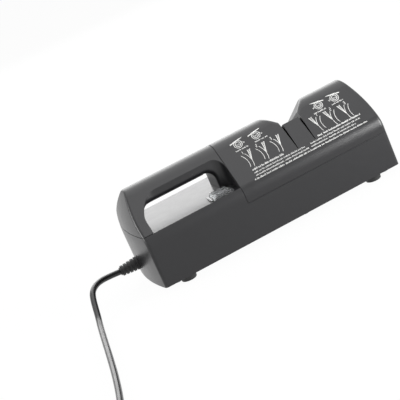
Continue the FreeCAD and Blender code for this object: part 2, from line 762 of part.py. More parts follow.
def motor_bracket():
    places = [(x, y) for x, y, r in bracket_screws[:2]]
    bracket = upright_bracket(motor_front, 28.0, axis_z + 27, -1, 28.0, shaft_radius + 4, places)
    for y in (-16.0, 16.0):
        hole = rod(Vector(motor_front - 1, y, axis_z), Vector(1, 0, 0), screw_radius + hole_clearance, 6)
        bracket = bracket.cut(hole)
    return bracket


def bearing_bracket():
    places = [(x, y) for x, y, r in bracket_screws[2:]]
    return upright_bracket(outboard_x, 17.0, axis_z + 16, 1, 20.0, bush_radius, places)


def outboard_bush():
    """Plain bronze bush with a collar, in the outboard bracket."""
    r0 = shaft_radius + running_gap
    r1 = bush_radius - fixed_fit
    outline = [(0, r0), (0, r1 + 2), (-2, r1 + 2), (-2, r0)]
    collar = turned_about_x(outline, outboard_x)
    body = turned_about_x([(0, r0), (0, r1), (bush_length - 2, r1), (bush_length - 2, r0)], outboard_x)
    return collar.fuse(body).removeSplitter()


def cooling_fan():
    """Moulded fan between the motor's bracket and the left disc."""
    x0 = bracket_front + 1.2
    bore = shaft_radius + fixed_fit
    hub = turned_about_x([(0, bore), (0, fan_radius), (1.2, fan_radius), (1.2, 7.5), (8.0, 7.0), (8.0, bore)], x0)
    for i in range(fan_blades):
        blade = block(x0 + 1.1, x0 + 7.5, -0.7, 0.7, axis_z + 7.0, axis_z + fan_radius - 0.5)
        blade.rotate(Vector(0, 0, axis_z + 7), Vector(1, 0, 0), 18)
        blade.rotate(Vector(0, 0, axis_z), Vector(1, 0, 0), i * 360 / fan_blades)
        hub = hub.fuse(blade)
    return hub.removeSplitter()


# Discs: each slides a little on the shaft; a spring between them holds them out on their rings.
cone = math.tan(math.radians(disc_cone_angle))
rim_x = disc_face_x - (disc_radius - disc_core_radius) * cone


def disc_carrier(side):
    """Steel disc with a hub, hollow behind its cone."""
    skin = abrasive_thickness
    outline = [(disc_face_x, shaft_radius + running_gap), (disc_face_x, disc_core_radius - 1),
               (disc_face_x - skin, disc_core_radius), (rim_x - skin, disc_radius),
               (rim_x - skin - disc_plate, disc_radius), (disc_face_x - skin - disc_plate, disc_core_radius),
               (disc_face_x - skin - disc_plate, hub_radius), (3.0, hub_radius),
               (3.0, shaft_radius + running_gap)]
    return turned_about_x([(side * x, r) for x, r in outline], head_x)


def disc_coating(side):
    """Abrasive layer on the cone."""
    skin = abrasive_thickness
    outline = [(disc_face_x, disc_core_radius), (rim_x, disc_radius), (rim_x - skin, disc_radius),
               (disc_face_x - skin, disc_core_radius)]
    return turned_about_x([(side * x, r) for x, r in outline], head_x)


def disc_spring():
    """Coil spring on the shaft between the two hubs, on two arcs to each quarter turn."""
    long = 6.0 - 2 * fit_gap - spring_wire
    r = shaft_radius + 1.0 + spring_wire / 2
    rise = long / spring_turns
    marks = []
    for i in range(4 * spring_turns + 1):
        angle = math.pi / 2 * i
        x = head_x - long / 2 + rise * i / 4
        place = Vector(x, r * math.cos(angle), axis_z + r * math.sin(angle))
        way = Vector(rise, -2 * math.pi * r * math.sin(angle), 2 * math.pi * r * math.cos(angle))
        marks.append((place, way.normalize()))
    edges = []
    for (p0, t0), (p1, t1) in zip(marks[:-1], marks[1:]):
        edges += biarc(p0, t0, p1, t1)
    profile = Part.Wire(Part.makeCircle(spring_wire / 2, marks[0][0], marks[0][1]))
    return Part.Wire(edges).makePipeShell([profile], True, False)


def stop_rings():
    """Rings on the shaft that the discs' hubs rest on."""
    rings = []
    for side in (-1, 1):
        x0 = side * (disc_face_x + 0.05)
        x1 = x0 + side * ring_width
        bore = shaft_radius + fixed_fit
        outline = [(x0, bore), (x0, shaft_radius + 2.2), (x1, shaft_radius + 2.2), (x1, bore)]
        rings.append(turned_about_x(outline, head_x))
    return Part.makeCompound(rings)


def swarf_tray():
    """Open tray that catches filings under the discs."""
    z0 = plate_top
    tray = centred_block(head_x, 0, z0, z0 + tray_height, tray_length, tray_depth)
    tray = tray.makeFillet(4, [e for e in tray.Edges if e.BoundBox.ZLength > tray_height / 2])
    room = centred_block(head_x, 0, z0 + tray_wall, z0 + tray_height + 1, tray_length - 2 * tray_wall,
                         tray_depth - 2 * tray_wall)
    return tray.cut(room)


def swarf_magnet():
    z0 = plate_top + tray_wall
    return centred_block(head_x, 0, z0, z0 + tray_magnet.z, tray_magnet.x, tray_magnet.y)


# Switch: a rocker under a clear boot on the deck.
rocker_axis_z = deck - 3.5
pocket_x = rocker_size.x + 2.6
pocket_y = rocker_size.y + 0.6


def switch_body():
    """Switch housing through the deck, with the rocker's pocket and two terminals below."""
    w = switch_body_size
    body = centred_block(switch_x, switch_y, deck - w.z, deck, w.x, w.y)
    room = centred_block(switch_x, switch_y, rocker_axis_z - 5.5, deck + 1, pocket_x, pocket_y)
    body = body.cut(room)
    for dx in (-6.0, 6.0):
        tab = centred_block(switch_x + dx, switch_y, deck - w.z - 8, deck - w.z + 1, 0.8, 5.0)
        body = body.fuse(tab)
    hole = rod(Vector(switch_x, switch_y - w.y, rocker_axis_z), Vector(0, 1, 0),
               rocker_pin_radius + running_gap, 2 * w.y)
    slot = hole.common(centred_block(switch_x, switch_y, deck - 10, deck + 10, w.x, pocket_y + 2.4))
    return body.cut(slot)


def rocker():
    """Rocker on a cross pin, drawn with its left end down, as it is when the motor is off."""
    sx, sy, sz = rocker_size.x, rocker_size.y, rocker_size.z
    top = rocker_axis_z + sz
    outline = [(-sx / 2, top), (0, top - 1.1), (sx / 2, top), (sx / 2 - 0.4, rocker_axis_z + 0.4),
               (4.5, rocker_axis_z - 4.0), (-4.5, rocker_axis_z - 4.0), (-sx / 2 + 0.4, rocker_axis_z + 0.4)]
    corners = [Vector(switch_x + x, switch_y - sy / 2, z) for x, z in outline]
    body = Part.Face(Part.makePolygon(corners + corners[:1])).extrude(Vector(0, sy, 0))
    pin = rod(Vector(switch_x, switch_y - pocket_y / 2 - 1.0, rocker_axis_z), Vector(0, 1, 0), rocker_pin_radius,
              pocket_y + 2.0)
    body = body.fuse(pin).removeSplitter()
    body.rotate(Vector(switch_x, switch_y, rocker_axis_z), Vector(0, 1, 0), -rocker_angle / 2)
    return body


def boot_frame():
    """Thin plastic frame that clamps the boot's flange to the deck."""
    f = boot_flange
    frame = centred_block(switch_x, switch_y, deck, deck + 0.8, f.x - 1.6, f.y - 1.6)
    room = centred_block(switch_x, switch_y, deck - 1, deck + 2, switch_body_size.x + 2 * fit_gap,
                         switch_body_size.y + 2 * fit_gap)
    return frame.cut(room)


def dome(size_x, size_y, z0, z1, end_taper, side_taper):
    """A block with slanting ends and sides: wider at z0 than at z1."""
    low = Part.makePolygon([Vector(switch_x + sx * size_x / 2, switch_y + sy * size_y / 2, z0)
                            for sx, sy in ((-1, -1), (1, -1), (1, 1), (-1, 1), (-1, -1))])
    high_x = size_x / 2 - end_taper
    high_y = size_y / 2 - side_taper
    high = Part.makePolygon([Vector(switch_x + sx * high_x, switch_y + sy * high_y, z1)
                             for sx, sy in ((-1, -1), (1, -1), (1, 1), (-1, 1), (-1, -1))])
    return Part.makeLoft([low, high], True, True)


def switch_boot():
    """Clear soft boot over the rocker: a flange and a hollow dome with slanting sides."""
    f, d, t = boot_flange, boot_dome, boot_wall
    z0 = deck + 0.8
    flange = centred_block(switch_x, switch_y, z0, z0 + f.z - 0.8, f.x, f.y)
    flange = flange.makeFillet(2.5, [e for e in flange.Edges if e.BoundBox.ZLength > 0.5])
    skin = dome(d.x, d.y, z0, deck + d.z, boot_end_taper, boot_side_taper)
    room = dome(d.x - 2 * t, d.y - 2 * t, z0 - 1, deck + d.z - t, boot_end_taper - 0.2, boot_side_taper - 0.2)
    return flange.fuse(skin).removeSplitter().cut(room)


def control_board():
    plate = centred_block(board_centre.x, board_centre.y, board_z, board_z + board_thickness, board_size.x,
                          board_size.y)
    for x, y in board_posts:
        plate = plate.cut(straight_boss(x, y, board_z - 1, board_z + 4, 1.25 + hole_clearance))
    return plate


board_top = board_z + board_thickness


def capacitor():
    can = straight_boss(board_centre.x - 16, board_centre.y - 6, board_top, board_top + 26, 8.0)
    return can.makeFillet(0.8, [e for e in can.Edges if e.BoundBox.ZMin > board_top + 20])


def rectifier():
    return centred_block(board_centre.x + 6, board_centre.y + 8, board_top, board_top + 12, 15.0, 4.0)


def fuse_holder():
    return centred_block(board_centre.x + 10, board_centre.y - 10, board_top, board_top + 9, 22.0, 7.0)


def terminal_block():
    block_ = centred_block(terminal_x, cord_y, plate_top, base + cord_height + 6, 14.0, 16.0)
    for y in (cord_y - 4, cord_y + 4):
        block_ = block_.cut(straight_boss(terminal_x, y, base + cord_height + 2, base + cord_height + 7, 2.2))
    return block_


def inner_cord():
    """The last stretch of the mains cord, from its strain relief to the terminal block."""
    x0 = relief_inner_x
    return rod(Vector(x0, cord_y, base + cord_height), Vector(1, 0, 0), cord_radius, terminal_x - 7 - x0)


def cord_clamp():
    """Saddle that holds the inner cord down on the plate's seat."""
    z0 = base + cord_height - cord_radius
    z1 = base + cord_height + cord_radius + 2.5
    saddle = block(clamp_x - 4, clamp_x + 4, cord_y - 11, cord_y + 11, z0, z0 + 3)
    hump = block(clamp_x - 4, clamp_x + 4, cord_y - 5.5, cord_y + 5.5, z0, z1)
    saddle = saddle.fuse(hump).removeSplitter()
    room = rod(Vector(clamp_x - 5, cord_y, base + cord_height), Vector(1, 0, 0), cord_radius + 0.05, 10)
    below = block(clamp_x - 5, clamp_x + 5, cord_y - cord_radius - 0.05, cord_y + cord_radius + 0.05, z0 - 1,
                  base + cord_height)
    saddle = saddle.cut(room.fuse(below))
    for y in (cord_y - clamp_screw_offset, cord_y + clamp_screw_offset):
        saddle = saddle.cut(straight_boss(clamp_x, y, z0 - 1, z1, 1.5 + hole_clearance))
    return saddle


def internal_leads():
    """Routes of the single wires under the deck and beside the motor."""
    tab_z = deck - switch_body_size.z - 8.2
    face_x = terminal_x + 7
    cord_z = base + cord_height
    cap_y = bearing_radius + 19.0
    side_y = half_depth - wall - 9
    live = [Vector(face_x, cord_y - 4, cord_z), Vector(face_x + 14, cord_y - 4, cord_z),
            Vector(board_centre.x + 21, 2, cord_z), Vector(switch_x - 7.5, switch_y + 15.5, cord_z),
            Vector(switch_x - 6, switch_y, cord_z - 4),
            Vector(switch_x - 6, switch_y, tab_z)]
    neutral = [Vector(face_x, cord_y + 4, cord_z), Vector(face_x + 8, cord_y + 4, cord_z),
               Vector(face_x + 11, cord_y - 6, cord_z + 5), Vector(face_x + 11, 3, cord_z + 4),
               Vector(face_x + 11, 3, board_top + 0.3)]
    switched = [Vector(switch_x + 6, switch_y, tab_z), Vector(switch_x + 6, switch_y, cord_z - 5),
                Vector(seam_x - 3.4, -side_y, cord_z - 8), Vector(brush_x - 6, -side_y, cord_z),
                Vector(brush_x, -side_y, axis_z - 12), Vector(brush_x, -side_y + 2, axis_z),
                Vector(brush_x, -cap_y, axis_z)]
    supply_x = board_centre.x + 27
    supply = [Vector(supply_x, 3, board_top + 0.3), Vector(supply_x, 3, cord_z),
              Vector(supply_x + 16, 16, cord_z - 1), Vector(seam_x + 0.6, side_y - 6, cord_z - 2),
              Vector(brush_x - 3, side_y, axis_z - 18),
              Vector(brush_x, side_y - 1, axis_z), Vector(brush_x, cap_y, axis_z)]
    return {"lead_live": live, "lead_neutral": neutral, "lead_switched": switched, "lead_supply": supply}


def screw_group(places):
    return Part.makeCompound([screw(*place) for place in places])


# The end wall is bowed, so the relief's first rib stands where the wall reaches farthest under it.
relief_share = (cord_y - relief_root_radius) / half_depth
relief_face_x = left_end - end_bow * (1 - relief_share * relief_share) - 0.1
relief_inner_x = relief_face_x + 4 * wall


def strain_relief():
    """Tapered rubber sleeve with ribs, its neck gripped by the hole in the base's end wall."""
    z = base + cord_height
    root = relief_face_x
    tip = root - relief_length
    step = relief_length / relief_ribs
    neck = relief_neck_radius - fixed_fit
    points = [(relief_inner_x, 0.0), (relief_inner_x, neck), (root, neck)]
    for i in range(relief_ribs):
        start = root - i * step
        share = (i + 0.5) / relief_ribs
        r = relief_root_radius + (relief_tip_radius - relief_root_radius) * share
        rib_end = start - relief_rib_share * step
        points += [(start, r), (rib_end, r), (rib_end, r - relief_groove), (start - step, r - relief_groove)]
    points.append((tip, 0.0))
    corners = [Vector(x, cord_y, z + r) for x, r in points]
    face = Part.Face(Part.makePolygon(corners + corners[:1]))
    return face.revolve(Vector(0, cord_y, z), Vector(1, 0, 0), 360)


def tube_along(points, radius, name):
    """A tube on straight runs joined by tangent arcs, each as large as its two runs allow."""
    edges = []
    start = points[0]
    length_sum = 0.0
    radii = []
    for i in range(1, len(points) - 1):
        back = points[i - 1] - points[i]
        on = points[i + 1] - points[i]
        shorter = min(back.Length, on.Length)
        turn = math.pi - back.getAngle(on)
        cut_back = 0.45 * shorter
        radii.append(round(cut_back / math.tan(turn / 2), 1))
        a = points[i] + back.normalize() * cut_back
        b = points[i] + on.normalize() * cut_back
        to_centre = (back + on).normalize()
        r = cut_back / math.tan(turn / 2)
        centre = points[i] + to_centre * (r / math.cos(turn / 2))
        middle = centre - to_centre * r
        edges.append(Part.LineSegment(start, a).toShape())
        edges.append(Part.Arc(a, middle, b).toShape())
        length_sum += (a - start).Length + r * turn
        start = b
    edges.append(Part.LineSegment(start, points[-1]).toShape())
    length_sum += (points[-1] - start).Length
    path = Part.Wire(edges)
    way = (points[1] - points[0]).normalize()
    profile = Part.Wire(Part.makeCircle(radius, points[0], way))
    tube = path.makePipeShell([profile], True, False)
    share = tube.Volume / (math.pi * radius * radius * length_sum)
    print(name, "length", round(length_sum, 1), "radii", radii, "volume share", round(share, 4))
    return tube


# Route of the mains cord's free stretch: out of the relief, down to the surface, then forward.
# Each point is given from the relief's tip in X and Y, and by its height over the surface.
relief_tip = Vector(relief_face_x - relief_length, cord_y, base + cord_height)
route_steps = [
    (-17.8, -2.6, 28.0),
    (-31.0, -10.4, 29.4),
    (-40.5, -21.5, 28.2),
    (-46.1, -34.3, 23.9),
    (-52.2, -55.3, 8.0),
    (-56.4, -73.7, 4.7),
    (-62.6, -109.6, 3.6),
    (-73.6, -178.2, 3.6),
    (-83.4, -235.5, 3.6),
    (-94.4, -289.5, 3.6),
]
cord_route = [relief_tip] + [Vector(relief_tip.x + x, relief_tip.y + y, z) for x, y, z in route_steps]
coil_centre = Vector(relief_tip.x + coil_from_tip_x, relief_tip.y + coil_from_tip_y, 0)


def coil_place(turn):
    """Point and direction on the coil after this many turns, counted from where the cord joins it."""
    climb_end = lower_turns + climb_turns
    layer_low = cord_radius + 0.1
    if turn <= lower_turns:
        radius = coil_inner_radius + turn_pitch * (lower_turns - turn)
        slope = -turn_pitch if turn < lower_turns else 0.0
        rise = 0.0
    elif turn < climb_end:
        radius = coil_inner_radius
        slope = 0.0
        rise = (turn - lower_turns) / climb_turns
    else:
        radius = coil_inner_radius + turn_pitch * (turn - climb_end)
        slope = turn_pitch if turn > climb_end else 0.0
        rise = 1.0
    angle = -2 * math.pi * turn
    smooth = rise * rise * (3 - 2 * rise)
    smooth_rate = 6 * rise * (1 - rise) / climb_turns
    place = coil_centre + Vector(radius * math.cos(angle), radius * math.sin(angle), layer_low + turn_pitch * smooth)
    way = Vector(slope * math.cos(angle) + 2 * math.pi * radius * math.sin(angle),
                 slope * math.sin(angle) - 2 * math.pi * radius * math.cos(angle), turn_pitch * smooth_rate)
    return place, way.normalize()


def biarc(p0, t0, p1, t1):
    """Two arcs from p0 to p1 that share a tangent and follow the directions t0 and t1."""
    chord = p1 - p0
    spread = 2 * (1 - t0.dot(t1))
    along = chord.dot(t0 + t1)
    d = (-along + math.sqrt(along * along + spread * chord.dot(chord))) / spread
    joint = (p0 + p1 + (t0 - t1) * d) * 0.5
    arcs = []
    for start, way, end in ((p0, t0, joint), (p1, t1 * -1, joint)):
        step = end - start
        side = step - way * step.dot(way)
        bulge = (step * 0.5).Length
        tilt = math.atan2(side.Length, step.dot(way))
        sag = bulge * math.tan(tilt / 2)
        away = (way * side.Length - side * (step.dot(way) / side.Length)).normalize()
        arcs.append(Part.Arc(start, start + step * 0.5 + away * sag, end).toShape())
    return arcs


def coil_wire():
    total = lower_turns + climb_turns + upper_turns
    steps = int(round(total * 4))
    marks = [total * i / steps for i in range(steps + 1)]
    places = [coil_place(mark) for mark in marks]
    straight = 2 * cord_radius
    first = places[0][0] - places[0][1] * straight
    last = places[-1][0] + places[-1][1] * straight
    edges = [Part.makeLine(first, places[0][0])]
    for (p0, t0), (p1, t1) in zip(places[:-1], places[1:]):
        edges += biarc(p0, t0, p1, t1)
    edges.append(Part.makeLine(places[-1][0], last))
    return Part.Wire(edges), first, places[0][1], last, places[-1][1]


def least_gap(wire):
    """Least clear space between turns that are not next to each other along the cord."""
    count = 900
    points = wire.discretize(count)
    apart = wire.Length / (count - 1)
    skip = int(6 * cord_radius / apart)
    least = far
    for i in range(0, count, 2):
        for j in range(i + skip, count, 2):
            least = min(least, (points[i] - points[j]).Length)
    return least - 2 * cord_radius


def oriented(shape, at, way):
    """Lay a shape that was drawn along +X at a place, turned about Z to the given direction."""
    shape.rotate(Vector(0, 0, 0), Vector(0, 0, 1), math.degrees(math.atan2(way.y, way.x)))
    shape.translate(at)
    return shape


def plug_body():
    """Moulded plug: a ribbed sleeve and a rounded block, drawn along +X from the cord's end."""
    thick = 2 * plug_axis_z
    sleeve = Part.makeCone(cord_radius + 1.0, 7.0, plug_relief_length, Vector(0, 0, 0), Vector(1, 0, 0))
    body = Part.makeBox(plug_body_length, plug_width, thick, Vector(plug_relief_length - 1, -plug_width / 2, -thick / 2))
    body = body.makeFillet(5.0, [e for e in body.Edges if e.BoundBox.XLength > plug_body_length / 2])
    return sleeve.fuse(body).removeSplitter()


def plug_pins():
    """Two flat blades and a round earth pin."""
    face = plug_relief_length - 1 + plug_body_length
    pins = []
    for y in (-6.35, 6.35):
        pins.append(Part.makeBox(17.5, 1.5, 6.4, Vector(face, y - 0.75, -3.2 + 2.5)))
    pins.append(Part.makeCylinder(2.4, 20.5, Vector(face, 0, -7.0 + 1.5), Vector(1, 0, 0)))
    return Part.makeCompound(pins)


coil_path, coil_start, coil_start_way, coil_end, coil_end_way = coil_wire()
plug_axis_z = coil_end.z
route = cord_route + [coil_start - coil_start_way * 32.0, coil_start]
first_way = (cord_route[1] - cord_route[0]).normalize()
route[0] = cord_route[0] - first_way * 1.5

# Build and save every piece.
save(base_shell(), "base_shell")
save(handle_shell(), "handle_shell")
save(grip_plate(), "grip_plate")
save(top_cover(), "top_cover")
save(blade_guide(-1), "blade_guide_left")
save(blade_guide(1), "blade_guide_right")
save(bottom_plate(), "bottom_plate")
for (foot_x, foot_y), foot_name in zip(foot_places, ("front_left", "rear_left", "front_right", "rear_right")):
    save(rubber_foot(foot_x, foot_y), "foot_" + foot_name)
save(screw_group([(x, y, foot_recess_depth, 1, screw_radius, 9.0, 4.0, 2.4) for x, y in foot_places]), "foot_screws")
save(screw_group([(x, y, base, 1, screw_radius, 16.0, 3.8, 2.2) for x, y in boss_places]), "base_screws")
save(screw_group([(x, y, deck - wall, 1, handle_screw_radius, 16.0, handle_screw_head, 2.0)
                  for x, y in handle_screw_places]),
     "handle_screws")
save(screw_group([(x, grip_screw_y, bar_bottom, 1, handle_screw_radius, 12.0, 3.0, 1.6) for x in grip_screw_x]),
     "grip_screws")
save(screw_group([(x, y, plate_top + bracket_flange, -1, screw_radius, 4.2, 3.6, 2.2) for x, y, r in bracket_screws]),
     "bracket_screws")
save(motor_can(), "motor_can")
save(motor_end_bell(), "motor_end_bell")
save(motor_magnets(), "motor_magnets")
save(motor_brushes(), "motor_brushes")
save(armature(), "armature")
save(motor_shaft(), "motor_shaft")
save(ball_bearing(motor_front - motor_wall - bearing_width), "front_bearing")
save(ball_bearing(bell_back + motor_wall), "rear_bearing")
save(motor_bracket(), "motor_bracket")
save(bearing_bracket(), "bearing_bracket")
save(outboard_bush(), "outboard_bush")
save(cooling_fan(), "cooling_fan")
save(disc_carrier(-1), "left_disc")
save(disc_carrier(1), "right_disc")
save(disc_coating(-1), "left_abrasive")
save(disc_coating(1), "right_abrasive")
save(disc_spring(), "disc_spring")
save(stop_rings(), "stop_rings")
save(swarf_tray(), "swarf_tray")
save(swarf_magnet(), "swarf_magnet")
save(switch_body(), "switch_body")
save(rocker(), "rocker")
save(boot_frame(), "boot_frame")
save(switch_boot(), "switch_boot")
save(control_board(), "control_board")
save(capacitor(), "capacitor")
save(rectifier(), "rectifier")
save(fuse_holder(), "fuse_holder")
save(terminal_block(), "terminal_block")
save(inner_cord(), "inner_cord")
save(cord_clamp(), "cord_clamp")
clamp_top = base + cord_height - cord_radius + 3
save(screw_group([(clamp_x, y, clamp_top, -1, 1.5, 8.0, 2.6, 1.6) for y in (cord_y - clamp_screw_offset, cord_y + clamp_screw_offset)]),
     "clamp_screws")
for lead_name, lead_points in internal_leads().items():
    save(tube_along(lead_points, lead_radius, lead_name), lead_name)
save(strain_relief(), "strain_relief")
# The free stretch starts flush with the relief's tip.
cord = tube_along(route, cord_radius, "cord").cut(block(relief_tip.x, 0, -far, far, 0, far))
save(cord, "cord")
coil_profile = Part.Wire(Part.makeCircle(cord_radius, coil_start, coil_start_way))
save(coil_path.makePipeShell([coil_profile], True, False), "cord_coil")
print("coil length", round(coil_path.Length, 1), "least gap", round(least_gap(coil_path), 2))
save(oriented(plug_body(), coil_end, coil_end_way), "plug_body")
save(oriented(plug_pins(), coil_end, coil_end_way), "plug_pins")
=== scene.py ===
# %% [markdown]
# Electric knife sharpener with a carrying handle: a black moulded machine on four rubber feet, with
# a lift-off cover over its grinding discs, a rocker switch under a clear boot and a mains cord.
# Lengths are in metres. The fixed frame gives every piece's place, and this script its looks.

# %%
import math

import bpy
import numpy as np
from mathutils import Matrix, Vector


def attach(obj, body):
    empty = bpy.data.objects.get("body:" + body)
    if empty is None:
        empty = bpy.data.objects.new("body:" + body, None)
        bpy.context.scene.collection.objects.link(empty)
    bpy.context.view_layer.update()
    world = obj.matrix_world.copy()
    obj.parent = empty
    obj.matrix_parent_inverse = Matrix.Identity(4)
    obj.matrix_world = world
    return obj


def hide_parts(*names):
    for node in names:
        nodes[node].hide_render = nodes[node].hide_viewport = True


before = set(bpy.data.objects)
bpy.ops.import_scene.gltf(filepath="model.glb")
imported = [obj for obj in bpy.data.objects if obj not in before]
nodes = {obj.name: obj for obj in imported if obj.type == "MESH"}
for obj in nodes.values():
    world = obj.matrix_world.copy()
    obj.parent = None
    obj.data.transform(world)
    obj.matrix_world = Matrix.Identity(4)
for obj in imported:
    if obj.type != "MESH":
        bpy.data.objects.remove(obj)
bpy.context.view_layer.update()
print(len(nodes), "nodes in the frame")

# %% [markdown]
# Helpers for colours and node trees. Each material's tree is built from its sockets' names, so one
# small function that adds a node with its settings and links serves them all.


# %%
def colour(code):
    """Linear colour from a hex sRGB code: below 0.04045 divide by 12.92, else raise to 2.4."""
    raw = [int(code[i:i + 2], 16) / 255 for i in (0, 2, 4)]
    return [c / 12.92 if c <= 0.04045 else ((c + 0.055) / 1.055) ** 2.4 for c in raw] + [1.0]


def add(tree, kind, links=None, **values):
    """A new node with its sockets set or linked by name, and its own settings by keyword."""
    node = tree.nodes.new(kind)
    for key, value in values.items():
        setattr(node, key, value)
    for key, value in (links or {}).items():
        socket = node.inputs[key]
        if isinstance(value, bpy.types.NodeSocket):
            tree.links.new(value, socket)
        else:
            socket.default_value = value
    return node


def calc(tree, operation, *values):
    """One step of arithmetic on values in a node tree."""
    return add(tree, "ShaderNodeMath", dict(enumerate(values)), operation=operation).outputs[0]


def material(name):
    """An empty material, its tree and the object's coordinates."""
    made = bpy.data.materials.new(name)
    made.use_nodes = True
    tree = made.node_tree
    tree.nodes.clear()
    return made, tree, add(tree, "ShaderNodeTexCoord").outputs["Object"]


def close(tree, shader):
    """Join the last shader to the material's output."""
    add(tree, "ShaderNodeOutputMaterial", {"Surface": shader.outputs[0]})


# %% [markdown]
# Camera: above the front left, rolled as the photograph was. Its focal length is solved in pixels
# of the square picture, so the lens in millimetres follows from the sensor's width.

# %%
camera_place = Vector((-0.38972, -1.38278, 0.46218))
camera_aim = Vector((-0.06341, 0.01421, 0.05963))
camera_roll = math.radians(23.99)
focal_pixels, picture_pixels, sensor_width = 1280.86, 400, 36

camera_data = bpy.data.cameras.new("camera")
camera = bpy.data.objects.new("camera", camera_data)
bpy.context.collection.objects.link(camera)
back = (camera_place - camera_aim).normalized()
right = Vector((0, 0, 1)).cross(back).normalized()
up = back.cross(right)
right, up = (right * math.cos(camera_roll) - up * math.sin(camera_roll),
             right * math.sin(camera_roll) + up * math.cos(camera_roll))
turn = Matrix((right, up, back)).transposed().to_4x4()
camera.matrix_world = Matrix.Translation(camera_place) @ turn
camera_data.lens = focal_pixels / picture_pixels * sensor_width
camera_data.sensor_width = sensor_width
camera_data.clip_end = 50
bpy.context.scene.camera = camera
print("lens", round(camera_data.lens, 1), "mm")

# %% [markdown]
# Mains cord: one tube from the strain relief, along the table and through its put-away coil to the
# plug. It could be a mesh, but a curve keeps its length exact and bends as smoothly as vinyl does.
# The route's points are where the photograph and the table put it.

# %%
cord_radius = 0.0035
relief_tip = np.array([-0.18262, 0.0215, 0.0255])
route = np.array([
    relief_tip,
    [-0.2004, 0.0189, 0.0280],
    [-0.2136, 0.0111, 0.0294],
    [-0.2231, 0.0000, 0.0282],
    [-0.2287, -0.0128, 0.0239],
    [-0.2348, -0.0338, 0.0080],
    [-0.2390, -0.0522, 0.0047],
    [-0.2452, -0.0881, 0.0036],
    [-0.2562, -0.1567, 0.0036],
    [-0.2660, -0.2140, 0.0036],
    [-0.2770, -0.2680, 0.0036],
    [-0.2867, -0.3030, 0.0036],
])
coil_centre = np.array([-0.336, -0.335, 0.0036])
coil_inner = 0.0295
turn_pitch = 0.0086
lower_turns, climb_turns, upper_turns = 2.25, 0.5, 2.5
points_per_turn = 24
run_to_plug = 0.007


def coil_points():
    """Points round the coil: in by one pitch a turn, up one pitch in half a turn, and out again.

    Angle is minus two pi times the turn, radius the inner one plus the pitch times the turns away
    from the climb, and the climb eases in and out as 3 r squared minus 2 r cubed. The smooth curve
    runs at 0.75 + 0.25 cos(step) of its points' radius, so the points stand that much further out.
    """
    total = lower_turns + climb_turns + upper_turns
    turns = np.linspace(0, total, int(total * points_per_turn) + 1)
    climb_end = lower_turns + climb_turns
    away = np.maximum(lower_turns - turns, 0) + np.maximum(turns - climb_end, 0)
    rise = np.clip((turns - lower_turns) / climb_turns, 0, 1)
    curve_share = 0.75 + 0.25 * math.cos(2 * math.pi / points_per_turn)
    radius = (coil_inner + turn_pitch * away) / curve_share
    angle = -2 * math.pi * turns
    lift = turn_pitch * rise * rise * (3 - 2 * rise)
    return coil_centre + np.stack([radius * np.cos(angle), radius * np.sin(angle), lift], 1)


coil = coil_points()
last_way = coil[-1] - coil[-2]
last_way[2] = 0
coil_end = coil[-1] + last_way / np.linalg.norm(last_way) * run_to_plug
cord_line = np.vstack([route, coil, coil_end])


def tube_curve(name, points, radius):
    """A round tube along a smooth curve that starts at the first point and ends at the last.

    The bevel is 1 and each point carries the tube's radius, so the object's box is the tube's own.
    """
    data = bpy.data.curves.new(name, "CURVE")
    data.dimensions = "3D"
    data.bevel_depth = 1.0
    data.bevel_resolution = 5
    data.resolution_u = 6
    data.use_fill_caps = True
    spline = data.splines.new("NURBS")
    spline.points.add(len(points) - 1)
    spline.points.foreach_set("co", np.hstack([points, np.ones((len(points), 1))]).ravel())
    spline.points.foreach_set("radius", np.full(len(points), radius))
    spline.order_u = 3
    spline.use_endpoint_u = True
    made = bpy.data.objects.new(name, data)
    bpy.context.collection.objects.link(made)
    return made


cord = tube_curve("mains_cord", cord_line, cord_radius)
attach(cord, "housing")
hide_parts("cord", "cord_coil")

# %% [markdown]
# Floor and surroundings. Black plastic shows its form only by what it mirrors, so the room is white
# to the camera and to mirrored and clear surfaces, and a plain grey light fills the rest.

# %%
bpy.context.scene.view_settings.view_transform = "Standard"
floor_reach = 30
floor_white = 0.96
room_light = 0.32


def mesh_object(name, points, faces):
    """A mesh object with flat faces from an array of points and a list of faces."""
    mesh = bpy.data.meshes.new(name)
    mesh.from_pydata([tuple(p) for p in np.asarray(points, float).tolist()], [], faces)
    made = bpy.data.objects.new(name, mesh)
    bpy.context.collection.objects.link(made)
    return made


def whiten(tree, surface, white_share):
    """Mix a surface with plain white for rays that the camera, a mirror or clear plastic sends."""
    ray = add(tree, "ShaderNodeLightPath").outputs
    seen = calc(tree, "ADD", ray["Is Camera Ray"], ray["Is Glossy Ray"])
    seen = add(tree, "ShaderNodeMath", {0: seen, 1: ray["Is Transmission Ray"]}, operation="ADD",
               use_clamp=True).outputs[0]
    share = calc(tree, "MULTIPLY", seen, white_share)
    kind = "ShaderNodeBackground" if surface.type == "BACKGROUND" else "ShaderNodeEmission"
    white = add(tree, kind, {"Color": colour("ffffff"), "Strength": 1.0})
    return add(tree, "ShaderNodeMixShader", {"Fac": share, 1: surface.outputs[0],
                                             2: white.outputs[0]})


corners = np.array([[-1, -1, 0], [1, -1, 0], [1, 1, 0], [-1, 1, 0]]) * floor_reach
floor = mesh_object("floor", corners, [[0, 1, 2, 3]])
floor_look, tree, place = material("pale floor")
matte = add(tree, "ShaderNodeBsdfDiffuse", {"Color": colour("f2f2f2")})
close(tree, whiten(tree, matte, floor_white))
floor.data.materials.append(floor_look)

world = bpy.data.worlds.new("surroundings")
bpy.context.scene.world = world
world.use_nodes = True
tree = world.node_tree
tree.nodes.clear()
room = add(tree, "ShaderNodeBackground", {"Color": colour("ffffff"), "Strength": room_light})
add(tree, "ShaderNodeOutputWorld", {"Surface": whiten(tree, room, 1.0).outputs[0]})
print("floor", 2 * floor_reach, "m wide")

